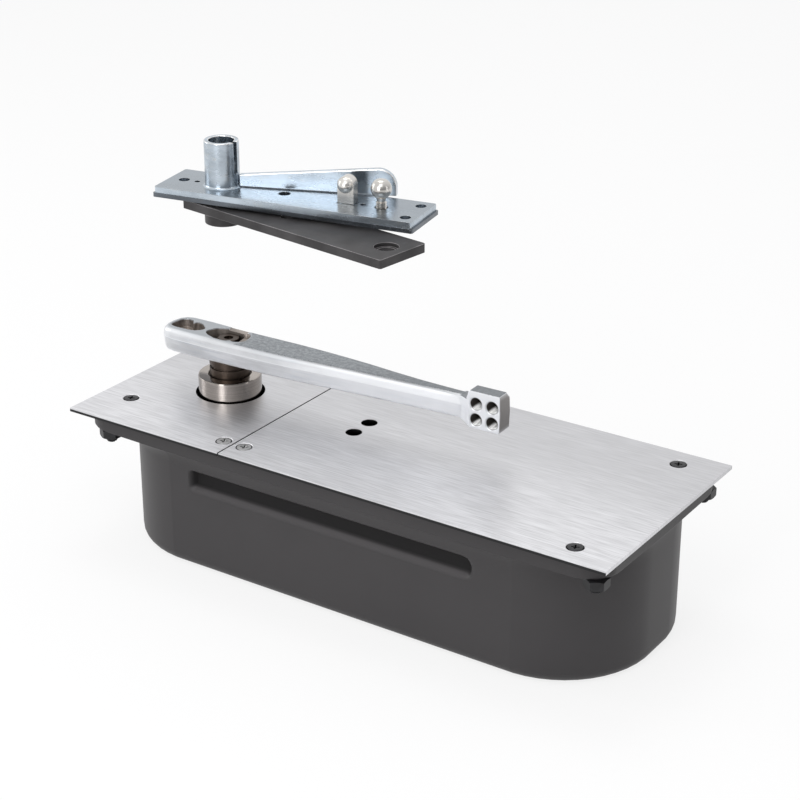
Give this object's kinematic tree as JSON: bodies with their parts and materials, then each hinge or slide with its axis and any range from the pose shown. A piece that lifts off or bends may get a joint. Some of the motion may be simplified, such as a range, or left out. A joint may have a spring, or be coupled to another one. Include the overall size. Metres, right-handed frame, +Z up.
{
  "type": "floor spring door closer",
  "caption": "Hydraulic floor spring with rounded floor case, two-part cover, cam-driven spring piston, door arm on its spindle, and a separate walking beam top pivot.",
  "frame": {"origin": "on the spindle axis at the underside of the floor case", "axes": "+X along the case towards its spring end, +Y towards the back, +Z up the spindle"},
  "size_m": [0.311, 0.127, 0.2096],
  "materials": {
    "case_paint": "charcoal satin paint on pressed steel",
    "brushed_cover": "stainless steel brushed along the length",
    "dark_steel": "plain rolled steel",
    "screw_steel": "bright countersunk screws",
    "black_oxide": "black oxide",
    "cast_body": "fine sand cast, machined faces",
    "machined_steel": "turned and ground",
    "seal_rubber": "nitrile seal",
    "bronze": "sintered bronze",
    "valve_brass": "turned brass",
    "spring_steel": "oil tempered wire",
    "spindle_steel": "dark hardened steel",
    "collar_steel": "warm turned nickel steel",
    "cast_arm": "forged and shot blasted, satin zinc",
    "zinc_plate": "blue passivated zinc plate",
    "zinc_backing": "zinc plate",
    "bright_steel": "polished nickel steel",
    "black_plate": "black grey phosphated steel"
  },
  "bodies": {
    "closer": {"cement_case": "case_paint", "main_cover": "brushed_cover", "spindle_cover": "brushed_cover", "cover_bridge": "dark_steel", "cover_screws": "screw_steel", "levelling_screws": "black_oxide", "levelling_nuts": "black_oxide", "closer_body": "cast_body", "body_screws": "black_oxide", "spring_end_cap": "machined_steel", "end_cap_seal": "seal_rubber", "upper_bearing": "bronze", "lower_bearing": "bronze", "spindle_seal": "seal_rubber", "filler_plug": "machined_steel", "main_spring": "spring_steel", "pivot_frame_plate": "zinc_plate", "pivot_backing_plate": "zinc_backing", "pin_housing": "zinc_plate", "fulcrum_post": "bright_steel", "pivot_washer": "machined_steel"},
    "arm": {"spindle": "spindle_steel", "spindle_collar": "collar_steel", "cam": "machined_steel", "cam_key": "machined_steel", "door_arm": "cast_arm", "arm_screw": "spindle_steel"},
    "piston_unit": {"piston": "machined_steel", "piston_seal": "seal_rubber", "roller_pin": "machined_steel", "check_plug": "machined_steel"},
    "roller": {"cam_roller": "machined_steel"},
    "check_ball_unit": {"check_ball": "machined_steel"},
    "closing_valve_unit": {"closing_valve": "valve_brass"},
    "latch_valve_unit": {"latch_valve": "valve_brass"},
    "pin": {"pivot_pin": "bright_steel"},
    "adjuster": {"adjusting_screw": "bright_steel"},
    "beam": {"walking_beam": "zinc_plate"},
    "door_side": {"door_pivot_plate": "black_plate", "pivot_bush": "bronze"}
  },
  "joints": [
    {"name": "arm_turn", "type": "hinge", "parent": "closer", "child": "arm", "pos_m": [0, 0, 0.09], "axis": [0, 0, 1], "range_deg": [0, 105], "stiffness_Nm_per_rad": 4, "springref_deg": -14.32},
    {"name": "piston_slide", "type": "slide", "parent": "closer", "child": "piston_unit", "axis": [1, 0, 0], "range_m": [0, 0.01262], "deforming": ["main_spring"]},
    {"name": "roller_spin", "type": "hinge", "parent": "piston_unit", "child": "roller", "pos_m": [0.024, 0, 0.036], "axis": [0, 0, 1], "continuous": true},
    {"name": "check_ball_lift", "type": "slide", "parent": "piston_unit", "child": "check_ball_unit", "axis": [1, 0, 0], "range_m": [0, 0.0015]},
    {"name": "closing_valve_turn", "type": "hinge", "parent": "closer", "child": "closing_valve_unit", "pos_m": [0.0835, -0.0068, 0.06], "axis": [0, 0, 1], "range_deg": [-180, 180]},
    {"name": "latch_valve_turn", "type": "hinge", "parent": "closer", "child": "latch_valve_unit", "pos_m": [0.0835, 0.0068, 0.06], "axis": [0, 0, 1], "range_deg": [-180, 180]},
    {"name": "pin_lift", "type": "slide", "parent": "closer", "child": "pin", "axis": [0, 0, 1], "range_m": [0, 0.011]},
    {"name": "adjuster_turn", "type": "hinge", "parent": "closer", "child": "adjuster", "pos_m": [0.08568, 0.01511, 0.186], "axis": [0, 0, 1], "range_deg": [-180, 180]},
    {"name": "beam_swing", "type": "hinge", "parent": "closer", "child": "beam", "pos_m": [0, 0, 0.19], "axis": [0, 0, 1], "range_deg": [-6, 8]},
    {"name": "door_swing", "type": "hinge", "parent": "closer", "child": "door_side", "pos_m": [0, 0, 0.178], "axis": [0, 0, 1], "range_deg": [-90, 125]}
  ],
  "couplings": [
    {"joint": "piston_slide", "follows": "arm_turn", "m_per_rad": 0.0068755}
  ]
}
